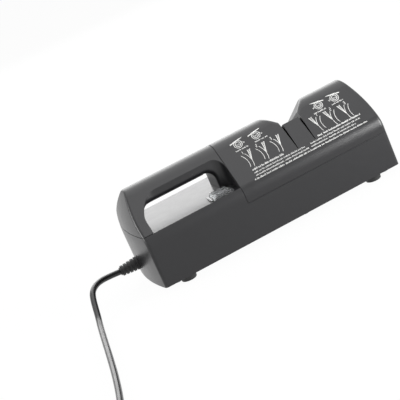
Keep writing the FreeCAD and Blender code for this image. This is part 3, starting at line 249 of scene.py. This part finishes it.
# %% [markdown]
# Lamps. Three wide soft lamps stand overhead, behind and at the left, where a studio's soft boxes
# would be, and a small one near the right front lifts the bend of the shoulder.

# %%
# Each lamp's place, aim, side and power in watts.
lamps = {
    "overhead box": ((0.25, 0.2, 1.85), (0, 0, 0.05), 2.4, 24),
    "rear box": ((0.35, 2.0, 1.1), (0, 0, 0.05), 1.8, 24),
    "left box": ((-1.7, 0.3, 0.8), (-0.1, 0, 0.05), 0.9, 16),
    "right box": ((0.62, -0.60, 0.24), (0.1, 0, 0.05), 0.4, 9),
}
for name, (stand, aim, side, power) in lamps.items():
    data = bpy.data.lights.new(name, "AREA")
    data.size = side
    data.energy = power
    lamp = bpy.data.objects.new(name, data)
    lamp.location = stand
    lamp.rotation_euler = (Vector(aim) - Vector(stand)).to_track_quat("-Z", "Y").to_euler()
    bpy.context.collection.objects.link(lamp)
print(len(lamps), "lamps")

# %% [markdown]
# The housing is moulded from black ABS in a spark-eroded mould, which leaves a very fine even
# grain. The grain could be modelled, but at this size only its effect on the gloss shows, so a fine
# bump and a gloss that wanders a little give it. Inner parts are the same plastic from a smoother
# mould.


# %%
def spread(tree, place, scale, low, high):
    """A value that wanders between low and high over the surface, from noise."""
    noise = add(tree, "ShaderNodeTexNoise", {"Vector": place, "Scale": scale, "Detail": 3.0})
    span = add(tree, "ShaderNodeMapRange", {"Value": noise.outputs[0], "From Min": 0.3,
                                            "From Max": 0.7, "To Min": low, "To Max": high})
    return span.outputs[0]


def plain(name, base, rough, metal=0.0, grain=0.0, grain_scale=2500.0, vary=0.04, **more):
    """A surface of one colour whose gloss wanders a little, with a fine raised grain.

    The grain's scale is how many grains lie along a metre, so 2500 is a grain of 0.4 mm.
    """
    made, tree, place = material(name)
    sockets = {"Base Color": colour(base), "Metallic": metal,
               "Roughness": spread(tree, place, 90.0, rough - vary, rough + vary)}
    sockets.update(more)
    if grain:
        noise = add(tree, "ShaderNodeTexNoise", {"Vector": place, "Scale": grain_scale,
                                                 "Detail": 2.0})
        bump = add(tree, "ShaderNodeBump", {"Height": noise.outputs[0], "Strength": grain,
                                            "Distance": 0.0001})
        sockets["Normal"] = bump.outputs[0]
    close(tree, add(tree, "ShaderNodeBsdfPrincipled", sockets))
    return made


# Moulded ABS housing with a very fine spark-eroded grain.
satin = plain("satin black plastic", "1a1a1c", 0.30, grain=0.25, grain_scale=3000.0, vary=0.015,
              IOR=1.5)
# Moulded inner parts.
inner_plastic = plain("inner plastic", "1c1c1d", 0.42, grain=0.15, grain_scale=900.0)
# Glass filled nylon of the motor's end bell and the fan; the fibres make it faintly mottled.
filled_nylon = plain("glass filled nylon", "242425", 0.5, grain=0.5, grain_scale=700.0)
# Rocker moulded in a polished mould.
gloss = plain("gloss black plastic", "141415", 0.16)
print(len(bpy.data.materials), "materials so far")

# %% [markdown]
# Rubber and cord. Feet and strain relief are moulded rubber, dull and slightly dusty. The cord's
# jacket is extruded vinyl, smoother and glossier, so its gloss wanders more and its grain less.

# %%
# Moulded rubber, dull with a little bloom.
rubber = plain("black rubber", "1b1b1c", 0.55, grain=0.3, grain_scale=1500.0)
# Extruded vinyl jacket of the cord.
jacket = plain("cord jacket", "161617", 0.27, vary=0.05, grain=0.1, grain_scale=600.0)
# Moulded vinyl plug, a little duller than the jacket.
plug_vinyl = plain("plug vinyl", "19191a", 0.36, grain=0.2, grain_scale=1200.0)
# Extruded insulation of the single wires, one colour for each job.
live_wire = plain("brown insulation", "5a2f18", 0.35)
neutral_wire = plain("blue insulation", "1c4a86", 0.35)
switched_wire = plain("black insulation", "1a1a1b", 0.35)
supply_wire = plain("red insulation", "8c1f1a", 0.35)
print(len(bpy.data.materials), "materials so far")

# %% [markdown]
# Metal. Turned pieces carry fine rings about the shaft, so their bump is a sine of the radius and
# of the place along the shaft. Zinc plate is even and slightly blue, and pressed sheet is brushed
# one way.

# %%
shaft_height = 0.057


def about_shaft(tree, place):
    """Place along the shaft, distance from its axis and angle about it.

    The distance is the root of y squared plus z squared, and z counts from the shaft's height.
    """
    x, y, z = add(tree, "ShaderNodeSeparateXYZ", {0: place}).outputs
    z = calc(tree, "SUBTRACT", z, shaft_height)
    square = calc(tree, "ADD", calc(tree, "MULTIPLY", y, y), calc(tree, "MULTIPLY", z, z))
    return x, calc(tree, "SQRT", square), calc(tree, "ARCTAN2", z, y)


def ringed(name, base, rough, pitch, depth=0.15):
    """A turned surface: its height is the sine of radius plus x, over the pitch of the tool."""
    made, tree, place = material(name)
    x, radius, _ = about_shaft(tree, place)
    feed = calc(tree, "MULTIPLY", calc(tree, "ADD", x, radius), 2 * math.pi / pitch)
    rings = add(tree, "ShaderNodeBump", {"Height": calc(tree, "SINE", feed), "Strength": depth,
                                         "Distance": 0.00002})
    close(tree, add(tree, "ShaderNodeBsdfPrincipled", {
        "Base Color": colour(base), "Metallic": 1.0, "Normal": rings.outputs[0],
        "Roughness": spread(tree, place, 120.0, rough - 0.06, rough + 0.06)}))
    return made


def brushed(name, base, rough, stretch=(20.0, 900.0, 900.0)):
    """Sheet steel with fine lines one way: noise stretched along an axis lifts the surface."""
    made, tree, place = material(name)
    drawn = add(tree, "ShaderNodeMapping", {"Vector": place, "Scale": stretch})
    noise = add(tree, "ShaderNodeTexNoise", {"Vector": drawn.outputs[0], "Scale": 3.0,
                                             "Detail": 4.0})
    bump = add(tree, "ShaderNodeBump", {"Height": noise.outputs[0], "Strength": 0.2,
                                        "Distance": 0.00005})
    close(tree, add(tree, "ShaderNodeBsdfPrincipled", {
        "Base Color": colour(base), "Metallic": 1.0, "Normal": bump.outputs[0],
        "Roughness": spread(tree, place, 40.0, rough - 0.08, rough + 0.08)}))
    return made


# Pressed sheet steel with a zinc coating.
zinc = brushed("zinc plated steel", "aeb1b5", 0.36)
# Deep drawn can of the motor, zinc plated, with its lines round the can.
can_steel = brushed("drawn motor can", "b4b7ba", 0.3, (900.0, 60.0, 60.0))
# Headed and rolled screws, zinc plated.
screw_steel = plain("screw steel", "a3a5a8", 0.28, metal=1.0)
# Ground shaft, bearings and rings.
steel = ringed("ground steel", "9b9ca0", 0.2, 0.0002)
# Turned disc carriers.
disc_steel = ringed("turned steel", "8f9093", 0.3, 0.0004, 0.4)
# Cold drawn spring wire.
spring_steel = plain("spring wire", "77787b", 0.3, metal=1.0)
# Sintered bronze, oily, with open pores.
bronze = plain("bronze", "9a7440", 0.42, metal=1.0, grain=0.6, grain_scale=2500.0)
# Nickel plated brass pins.
pins = plain("plated pins", "c2bfb4", 0.2, metal=1.0)
print(len(bpy.data.materials), "materials so far")

# %% [markdown]
# The armature is one piece in the frame with three surfaces: stamped core, enamelled windings at
# both ends, and the commutator's copper bars. Their places along the shaft are fixed, so steps in x
# choose between them, and a sine draws the plates, the wires and the bars.

# %%
core_start, core_end, bars_end = -0.00305, 0.02505, -0.0085
# Plates and wires are drawn 0.5 mm apart, as coarse as shows.
plate_pitch = wire_pitch = 0.0005
wire_twist, bar_count, bar_gap_level = 9.0, 12.0, -0.94


def blend(tree, share, first, second):
    """The first colour where the share is 0 and the second where it is 1."""
    return add(tree, "ShaderNodeMix", {0: share, 6: first, 7: second}, data_type="RGBA").outputs[2]


armature_look, tree, place = material("armature")
x, radius, angle = about_shaft(tree, place)
in_front = calc(tree, "GREATER_THAN", x, core_end)
behind = calc(tree, "LESS_THAN", x, core_start)
on_bars = calc(tree, "LESS_THAN", x, bars_end)
wound = calc(tree, "SUBTRACT", calc(tree, "ADD", in_front, behind), on_bars)
plates = calc(tree, "SINE", calc(tree, "MULTIPLY", x, 2 * math.pi / plate_pitch))
wires = calc(tree, "SINE", calc(tree, "ADD",
                                calc(tree, "MULTIPLY", radius, 2 * math.pi / wire_pitch),
                                calc(tree, "MULTIPLY", angle, wire_twist)))
bars = calc(tree, "GREATER_THAN",
            calc(tree, "SINE", calc(tree, "MULTIPLY", angle, bar_count)), bar_gap_level)
gaps = calc(tree, "MULTIPLY", on_bars, calc(tree, "SUBTRACT", 1.0, bars))
height = add(tree, "ShaderNodeMix", {0: wound, 2: plates, 3: wires}).outputs[0]
height = add(tree, "ShaderNodeMix", {0: on_bars, 2: height, 3: bars}).outputs[0]
ridges = add(tree, "ShaderNodeBump", {"Height": height, "Strength": 0.8, "Distance": 0.00012})
tint = blend(tree, wound, colour("77756f"), colour("9c4f22"))
tint = blend(tree, on_bars, tint, colour("b9713f"))
tint = blend(tree, gaps, tint, colour("1d1a18"))
shine = calc(tree, "SUBTRACT", 0.95, calc(tree, "MULTIPLY", wound, 0.45))
close(tree, add(tree, "ShaderNodeBsdfPrincipled", {
    "Base Color": tint, "Metallic": shine, "Normal": ridges.outputs[0],
    "Roughness": spread(tree, place, 150.0, 0.3, 0.45)}))
print(len(tree.nodes), "nodes in the armature's tree")

# %% [markdown]
# Magnets are pressed and fired ceramic and brushes are carbon, both dull and dark. The cones carry
# abrasive grains in resin: each grain is a cell, and its shade and height differ.

# %%
ferrite = plain("ferrite", "343436", 0.58, grain=0.5, grain_scale=1500.0)

# Grains of 0.3 mm, about twice the real grit, so that they show.
grains_per_metre = 3200.0
abrasive, tree, place = material("abrasive")
grains = add(tree, "ShaderNodeTexVoronoi", {"Vector": place, "Scale": grains_per_metre})
shade = add(tree, "ShaderNodeMapRange", {"Value": grains.outputs["Color"]})
rise = add(tree, "ShaderNodeBump", {"Height": grains.outputs["Distance"], "Strength": 1.0,
                                    "Distance": 0.0002})
close(tree, add(tree, "ShaderNodeBsdfPrincipled", {
    "Base Color": blend(tree, shade.outputs[0], colour("3c3d41"), colour("8b8d92")),
    "Metallic": 0.3, "Roughness": 0.6, "Normal": rise.outputs[0]}))
print(len(bpy.data.materials), "materials so far")

# %% [markdown]
# Electrics. The board is glass fibre under green lacquer, which shows its copper tracks as a
# lighter green. The capacitor's can has a dark sleeve with a pale stripe and a bare aluminium top.

# %%
board_green, tree, place = material("board lacquer")
tracks = add(tree, "ShaderNodeTexBrick", {"Vector": place, "Scale": 90.0, "Mortar Size": 0.10,
                                          "Color1": colour("17402a"),
                                          "Color2": colour("1d4d31"),
                                          "Mortar": colour("3f7a4e")})
close(tree, add(tree, "ShaderNodeBsdfPrincipled", {"Base Color": tracks.outputs["Color"],
                                                   "Roughness": 0.3}))

sleeve_top, stripe_edge = 0.0437, -0.0268
can_look, tree, place = material("capacitor")
split = add(tree, "ShaderNodeSeparateXYZ", {0: place}).outputs
bare = calc(tree, "GREATER_THAN", split[2], sleeve_top)
stripe = calc(tree, "LESS_THAN", split[1], stripe_edge)
tint = blend(tree, stripe, colour("15243f"), colour("b9c3cf"))
tint = blend(tree, bare, tint, colour("c4c6c8"))
close(tree, add(tree, "ShaderNodeBsdfPrincipled", {
    "Base Color": tint, "Metallic": bare,
    "Roughness": spread(tree, place, 80.0, 0.25, 0.35)}))
# Cast epoxy of small electrical parts.
component = plain("component plastic", "1f2022", 0.4)
# Nylon terminal block.
nylon = plain("pale nylon", "c9c7be", 0.45)
print(len(bpy.data.materials), "materials so far")

# %% [markdown]
# The boot over the switch is soft clear vinyl, dip moulded, smooth and slightly greasy. It is a
# real hollow dome in the frame, so a clear surface that bends light a little and mirrors the lamps
# shows the black rocker inside.

# %%
clear, tree, place = material("clear vinyl")
close(tree, add(tree, "ShaderNodeBsdfPrincipled", {
    "Base Color": colour("f2f4f5"), "Roughness": spread(tree, place, 60.0, 0.03, 0.09),
    "Transmission Weight": 0.95, "IOR": 1.3}))
print(len(bpy.data.materials), "materials so far")

# %% [markdown]
# Every node of the frame keeps its shape, and takes the finish that its real piece has.

# %%
looks = [
    (satin, "base_shell handle_shell grip_plate top_cover"),
    (inner_plastic, "blade_guide_left blade_guide_right swarf_tray switch_body boot_frame "
                    "fuse_holder"),
    (filled_nylon, "motor_end_bell cooling_fan cord_clamp"),
    (zinc, "bottom_plate motor_bracket bearing_bracket"),
    (rubber, "foot_front_left foot_front_right foot_rear_left foot_rear_right strain_relief"),
    (jacket, "inner_cord"),
    (plug_vinyl, "plug_body"),
    (pins, "plug_pins"),
    (screw_steel, "foot_screws base_screws handle_screws grip_screws bracket_screws clamp_screws"),
    (can_steel, "motor_can"),
    (steel, "front_bearing rear_bearing motor_shaft stop_rings"),
    (spring_steel, "disc_spring"),
    (disc_steel, "left_disc right_disc"),
    (ferrite, "motor_magnets swarf_magnet motor_brushes"),
    (armature_look, "armature"),
    (bronze, "outboard_bush"),
    (abrasive, "left_abrasive right_abrasive"),
    (gloss, "rocker"),
    (clear, "switch_boot"),
    (board_green, "control_board"),
    (can_look, "capacitor"),
    (component, "rectifier"),
    (nylon, "terminal_block"),
    (live_wire, "lead_live"),
    (neutral_wire, "lead_neutral"),
    (switched_wire, "lead_switched"),
    (supply_wire, "lead_supply"),
]
dressed = 0
for look, names in looks:
    for name in names.split():
        mesh = nodes[name].data
        mesh.materials.clear()
        mesh.materials.append(look)
        dressed += 1
cord.data.materials.append(jacket)
print(dressed, "nodes have their looks")

# %% [markdown]
# Printed marks on the cover's front shoulder: plain pictograms, plain numbers and rows of dashes.
# They could be painted in the material, but as thin strips of ink they stay sharp in any view. They
# are drawn flat in (x, s), where s runs down the section from the crest, and laid on the surface.

# %%
crest_z, crest_round = 0.1165, 0.020
shoulder_lean = math.radians(48.8)
crest_run = crest_round * shoulder_lean
shoulder_run = 0.05237
skirt_round = 0.022
skirt_centre = (-0.0330, 0.05577)
lift_of_ink = 0.00004


def on_shoulder(flat):
    """Points on the cover from (x, s): the crest's arc, the straight shoulder, the skirt's arc.

    On an arc y is the centre minus r sin(lean) and z is the centre plus r cos(lean), where the
    lean grows by s / r. Between the arcs the point runs straight down the shoulder. A small step
    along the normal keeps the ink on top.
    """
    x, s = flat[:, 0], flat[:, 1]
    lean = np.minimum(s, crest_run) / crest_round
    past = np.clip(s - crest_run, 0, shoulder_run)
    r = crest_round + lift_of_ink
    y = -r * np.sin(lean) - past * math.cos(shoulder_lean)
    z = crest_z - crest_round + r * np.cos(lean) - past * math.sin(shoulder_lean)
    low = np.maximum(s - crest_run - shoulder_run, 0) / skirt_round + shoulder_lean
    r = skirt_round + lift_of_ink
    below = s > crest_run + shoulder_run
    y = np.where(below, skirt_centre[0] - r * np.sin(low), y)
    z = np.where(below, skirt_centre[1] + r * np.cos(low), z)
    return np.stack([x, y, z], 1)


# %% [markdown]
# Pen strokes. From here to the end of the marks, lengths are in millimetres.

# %%
ink_points = []
ink_faces = []


def stroke(line, width, step=1.5):
    """A line of ink, as a strip of quads that is cut fine enough to follow the crest."""
    line = np.asarray(line, float)
    parts = [line[:1]]
    for a, b in zip(line[:-1], line[1:]):
        count = max(1, int(np.ceil(np.linalg.norm(b - a) / step)))
        parts.append(a + (b - a) * np.linspace(0, 1, count + 1)[1:, None])
    line = np.vstack(parts)
    way = np.gradient(line, axis=0)
    way = way / np.linalg.norm(way, axis=1)[:, None]
    side = np.stack([-way[:, 1], way[:, 0]], 1) * width / 2
    strip = np.empty((2 * len(line), 2))
    strip[0::2] = line + side
    strip[1::2] = line - side
    k = sum(len(p) for p in ink_points) + 2 * np.arange(len(line) - 1)
    ink_points.append(strip)
    ink_faces.extend(np.stack([k, k + 1, k + 3, k + 2], 1).tolist())


def ring(x, s, radius, count=22):
    """Points round a circle: its middle plus the radius times the cosine and sine of the angle."""
    a = np.linspace(0, 2 * math.pi, count)
    return np.stack([x + radius * np.cos(a), s + radius * np.sin(a)], 1)


def turned(line, angle, centre):
    """A line turned about the origin by an angle in degrees, then moved to a centre."""
    a = math.radians(angle)
    spin = np.array([[math.cos(a), math.sin(a)], [-math.sin(a), math.cos(a)]])
    return np.asarray(line, float) @ spin + np.asarray(centre, float)


# %% [markdown]
# The marks themselves. The real print is pictures and words, and these stand in for them: a number
# from straight bars, a row of ticks for a line of words, a blade on a disc's rim, and a round
# machine under a knife.

# %%
segments = {
    "a": [[0, 0], [1, 0]], "b": [[1, 0], [1, 1]], "c": [[1, 1], [1, 2]],
    "d": [[0, 2], [1, 2]], "e": [[0, 1], [0, 2]], "g": [[0, 1], [1, 1]],
}
digits = {"1": "bc", "2": "abged", "3": "abgcd"}
tick_pitch = 0.86
blade_deep, blade_low, blade_high = 15.0, 0.2, 3.4
rim_radius, blade_lean = 22.0, 6.0


def number(digit, x, s, size=1.8, width=0.45):
    """A plain number from straight bars, three quarters as wide as a bar is tall."""
    for key in digits[digit]:
        stroke(np.array(segments[key], float) * [size * 0.75, size] + [x, s], width)


def hatched_row(x0, x1, s, tall, width, seed):
    """Short upright ticks in groups; their heights and the groups' lengths come from sines."""
    k = np.arange(int((x1 - x0) / tick_pitch))
    wave = np.sin(seed * 1.7 + k * 2.31) + np.sin(k * 0.83 + seed)
    blank = np.sin(k * 0.9 + 2.1 * np.sin(k * 0.23 + seed) + seed) > 0.93
    for i in k[~blank]:
        top = tall * (1.0 if wave[i] > 0.35 else 0.68)
        x = x0 + tick_pitch * i
        stroke([[x, s + tall / 2 - top], [x, s + tall / 2]], width)


def blade_mark(x, s, side, label):
    """A blade's hatched wedge on the rim of a disc, whose rim is two arcs, with its number.

    The wedge narrows from the top to its tip 15 mm below. The rim goes through the tip, runs down
    along the blade and bends away above it. All of it is turned by the lean about the tip.
    """
    tip = (x, s + blade_deep)
    lean = blade_lean * side
    for edge in (blade_low, blade_high):
        stroke(turned([[side * edge, -blade_deep], [0.0, 0.0]], lean, tip), 0.6)
    for level in np.arange(-14.0, -2.0, 1.7):
        low, high = blade_low * -level / blade_deep, blade_high * -level / blade_deep
        stroke(turned([[side * low, level + 0.9], [side * high, level - 0.9]], lean, tip), 0.45)
    for away, top in ((0.0, 38), (4.6, 44)):
        a = np.radians(np.linspace(-top, 16, 14))
        radius = rim_radius - away
        rim = [side * (radius * np.cos(a) - rim_radius), 2.0 + radius * np.sin(a)]
        stroke(turned(np.stack(rim, 1), lean, tip), 0.5)
    number(label, x - side * 5.2 - 0.9, s - 0.8)


def top_mark(x, s, side):
    """A round machine seen from above under a knife: two rings, ticks, handle, blade and arrow."""
    for radius in (5.0, 3.2):
        stroke(ring(x, s + 2.0, radius), 0.6)
    for shift in (-2.2, -0.6, 1.0, 2.6):
        stroke([[x + shift, s + 1.4], [x + shift + 0.9, s + 3.6]], 0.45)
    stroke([[x - side * 8.6, s - 1.2], [x - side * 3.8, s - 2.2]], 1.15)
    blade = np.array([[-3.8, -2.9], [8.6, -4.4], [-3.8, -1.5], [-3.8, -2.9]])
    stroke(blade * [side, 1] + [x, s], 0.6)
    stroke([[x + side * 5.4, s + 0.6], [x + side * 7.6, s + 3.6], [x + side * 5.9, s + 3.2]], 0.36)
    stroke([[x + side * 7.6, s + 3.6], [x + side * 8.0, s + 1.9]], 0.36)


# %% [markdown]
# Where the marks stand: a group left of the trough and one right of it, each with two round
# machines over three blades, and rows of ticks below. The lowest row runs under both.

# %%
for x, s, side in ((-3.8, 19.2, 1), (19.8, 19.2, 1), (103.0, 22.0, -1), (124.5, 22.4, -1)):
    top_mark(x, s, side)
for x, s, side, label in ((-0.4, 32.5, 1, "1"), (18.6, 32.5, 1, "2"), (37.6, 32.5, 1, "3"),
                          (88.5, 32.8, -1, "1"), (106.8, 34.2, -1, "2"), (125.2, 35.6, -1, "3")):
    blade_mark(x, s, side, label)
# Each row's start and end, its place, the ticks' height and width, and its seed.
for row in (
    (-10.5, 6.5, 28.4, 1.8, 0.5, -10.5),
    (15.0, 32.0, 28.4, 1.8, 0.5, 15.0),
    (92.5, 109.0, 31.4, 1.8, 0.5, 92.5),
    (117.0, 133.0, 31.4, 1.8, 0.5, 117.0),
    (-6.7, 35.0, 58.3, 2.4, 0.52, 3),
    (-6.7, 61.0, 62.6, 1.9, 0.42, 4),
    (-6.7, 65.0, 66.4, 1.9, 0.42, 5),
    (-10.6, 140.8, 70.4, 2.1, 0.46, 6),
    (80.6, 138.4, 58.3, 2.4, 0.52, 8),
    (68.0, 135.1, 62.6, 1.9, 0.42, 9),
    (66.8, 127.6, 66.4, 1.9, 0.42, 10),
):
    hatched_row(*row)

metres = np.vstack(ink_points) * 0.001
marks = mesh_object("printed_marks", on_shoulder(metres), ink_faces)
# Pad-printed pale grey ink.
ink = plain("pale ink", "d8d8d6", 0.5)
marks.data.materials.append(ink)
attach(marks, "cover")
print(len(ink_faces), "faces of ink")
